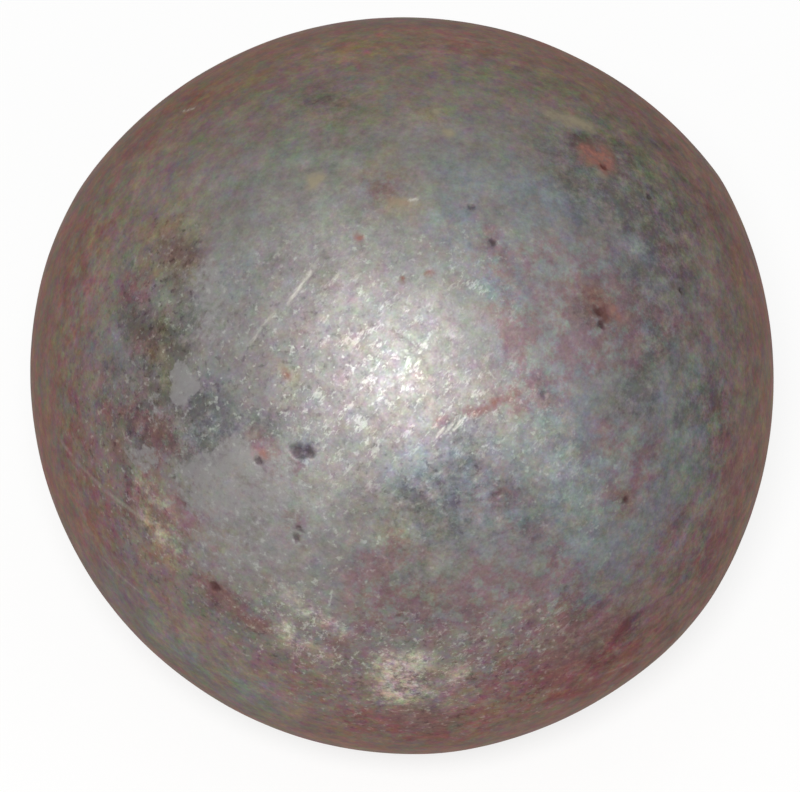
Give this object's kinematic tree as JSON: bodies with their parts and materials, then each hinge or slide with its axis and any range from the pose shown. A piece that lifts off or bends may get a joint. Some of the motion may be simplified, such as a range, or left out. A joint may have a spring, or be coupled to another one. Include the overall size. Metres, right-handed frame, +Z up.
{
  "type": "steel ball",
  "caption": "Solid forged steel ball, slightly out of round from wear, with pitted, scaled and rusted skin.",
  "frame": {"origin": "middle of the ball as it was forged, which is within 0.3 mm of the worn ball's centroid", "axes": "+Z up; the marked face looks along -Y and 50 degrees up, with +X to the right of someone who faces it"},
  "size_m": [0.0788, 0.0791, 0.0797],
  "materials": {
    "forged_steel": "satin"
  },
  "bodies": {
    "root": {"ball": "forged_steel"}
  },
  "joints": []
}
